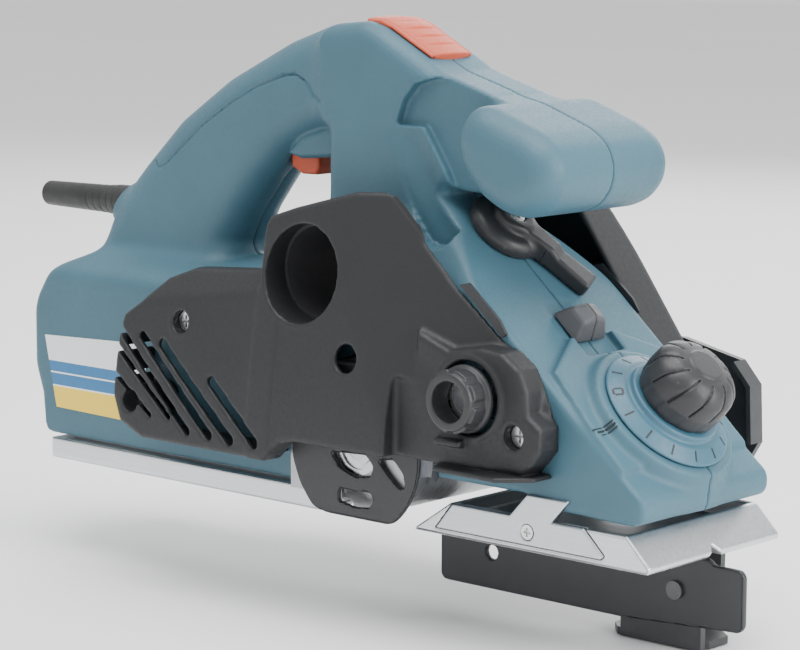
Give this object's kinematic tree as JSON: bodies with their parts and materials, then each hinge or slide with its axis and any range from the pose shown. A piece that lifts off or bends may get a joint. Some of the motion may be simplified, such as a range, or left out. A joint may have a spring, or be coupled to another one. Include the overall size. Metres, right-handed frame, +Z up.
{
  "type": "electric hand planer",
  "caption": "Hand-held electric planer with a D-handle, fore-handle, belt-driven cutter drum, depth knob, sliding front shoe, two chip outlets and a side fence.",
  "frame": {"origin": "on the flat rear sole, on the middle plane between the two housing halves", "axes": "+X is the way the planer is pushed, +Y is its left side, +Z is up"},
  "size_m": [0.3795, 0.1334, 0.2352],
  "materials": {
    "housing_plastic": "fine moulded texture",
    "ring_plastic": "fine moulded texture",
    "cover_plastic": "sand-like moulded texture",
    "control_plastic": "satin",
    "slider_plastic": "satin",
    "guard_plastic": "satin",
    "dark_plastic": "satin",
    "orange_plastic": "fine moulded texture",
    "label_film": "printed film",
    "boot_rubber": "matte",
    "belt_rubber": "matte",
    "sole_metal": "milled",
    "side_plate_metal": "milled",
    "drum_metal": "turned",
    "cast_alloy": "cast",
    "motor_steel": "stacked sheets",
    "copper_wire": "enamelled",
    "brass_parts": "machined",
    "carbon": "matte",
    "bearing_steel": "ground",
    "shaft_steel": "ground",
    "spring_steel": "drawn",
    "screw_steel": "zinc plated",
    "knife_steel": "ground",
    "fence_steel": "black, satin",
    "fence_bolt_steel": "black oxide",
    "capacitor_case": "moulded"
  },
  "bodies": {
    "machine": {"rear_sole": "sole_metal", "sole_screws": "screw_steel", "main_frame": "cast_alloy", "housing_right": "housing_plastic", "housing_left": "housing_plastic", "housing_screws": "screw_steel", "thumb_rest": "orange_plastic", "rating_label": "label_film", "cord_boot": "boot_rubber", "cord_clamp": "dark_plastic", "right_cover": "cover_plastic", "left_cover": "cover_plastic", "cover_screws": "screw_steel", "cover_clip_right": "cover_plastic", "cover_clip_left": "cover_plastic", "motor_stator": "motor_steel", "field_coils": "copper_wire", "brush_holders": "brass_parts", "carbon_brushes": "carbon", "motor_bearings": "bearing_steel", "drum_bearings": "bearing_steel", "chip_duct": "dark_plastic", "switch_body": "dark_plastic", "trigger_pin": "screw_steel", "trigger_spring": "spring_steel", "interference_capacitor": "capacitor_case", "guide_tube": "shaft_steel", "spindle_bush": "brass_parts", "guard_pivot_screw": "screw_steel", "drive_belt": "belt_rubber"},
    "cutter_drum": {"drum_core": "drum_metal", "drum_shaft": "shaft_steel", "knives": "knife_steel", "knife_clamps": "drum_metal", "clamp_screws": "screw_steel", "drum_pulley": "cast_alloy", "pulley_nut": "screw_steel"},
    "armature": {"armature_shaft": "shaft_steel", "armature_core": "motor_steel", "commutator": "copper_wire", "cooling_fan": "dark_plastic", "motor_pulley": "cast_alloy"},
    "shoe": {"front_shoe": "sole_metal", "shoe_side_plate": "side_plate_metal", "side_plate_screw": "screw_steel"},
    "trigger_lever": {"trigger": "orange_plastic"},
    "lock_off": {"lock_off_button": "orange_plastic"},
    "selector": {"selector_lever": "control_plastic", "lever_screw": "screw_steel", "deflector_flap": "dark_plastic"},
    "depth_lock": {"depth_lock_slider": "slider_plastic"},
    "guard": {"side_guard": "guard_plastic"},
    "fence": {"fence_rod": "shaft_steel", "fence_arm": "fence_steel", "fence_plate": "fence_steel", "fence_bolt": "fence_bolt_steel"},
    "rod_clamp": {"clamp_nut": "control_plastic"},
    "knob": {"depth_knob": "control_plastic", "scale_ring": "ring_plastic", "depth_spindle": "shaft_steel"}
  },
  "joints": [
    {"name": "drum_spin", "type": "hinge", "parent": "machine", "child": "cutter_drum", "pos_m": [0.106, 0, 0.03], "axis": [0, 1, 0], "continuous": true},
    {"name": "armature_spin", "type": "hinge", "parent": "machine", "child": "armature", "pos_m": [0.02, 0, 0.048], "axis": [0, 1, 0], "continuous": true},
    {"name": "knob_turn", "type": "hinge", "parent": "machine", "child": "knob", "pos_m": [0.2195, 0, 0.0524], "axis": [0.6782, 0, 0.7349], "range_deg": [0, 300]},
    {"name": "shoe_slide", "type": "slide", "parent": "machine", "child": "shoe", "axis": [0.6782, 0, 0.7349], "range_m": [0, 0.0034]},
    {"name": "trigger_pull", "type": "hinge", "parent": "machine", "child": "trigger_lever", "pos_m": [0.0323, 0, 0.146], "axis": [0, -1, 0], "range_deg": [0, 8], "stiffness_Nm_per_rad": 0.6, "springref_deg": -14.32},
    {"name": "lock_off_press", "type": "slide", "parent": "machine", "child": "lock_off", "axis": [0, -1, 0], "range_m": [0, 0.003], "stiffness_N_per_m": 250, "springref_m": -0.002},
    {"name": "selector_turn", "type": "hinge", "parent": "machine", "child": "selector", "pos_m": [0.13906, 0, 0.11343], "axis": [0.6782, 0, 0.7349], "range_deg": [-54, 0]},
    {"name": "depth_lock_slide", "type": "slide", "parent": "machine", "child": "depth_lock", "axis": [0.7349, 0, -0.6782], "range_m": [0, 0.004]},
    {"name": "guard_swing", "type": "hinge", "parent": "machine", "child": "guard", "pos_m": [0.08, 0, 0.036], "axis": [0, -1, 0], "range_deg": [0, 28], "stiffness_Nm_per_rad": 0.08, "springref_deg": -17.19},
    {"name": "fence_slide", "type": "slide", "parent": "machine", "child": "fence", "axis": [0, 1, 0], "range_m": [0, 0.04]},
    {"name": "clamp_nut_turn", "type": "hinge", "parent": "machine", "child": "rod_clamp", "pos_m": [0.1665, -0.055, 0.0572], "axis": [0, -1, 0], "range_deg": [0, 90]}
  ],
  "couplings": [
    {"joint": "armature_spin", "follows": "drum_spin", "ratio": 1.6667},
    {"joint": "knob_turn", "follows": "shoe_slide", "rad_per_m": 1540}
  ]
}
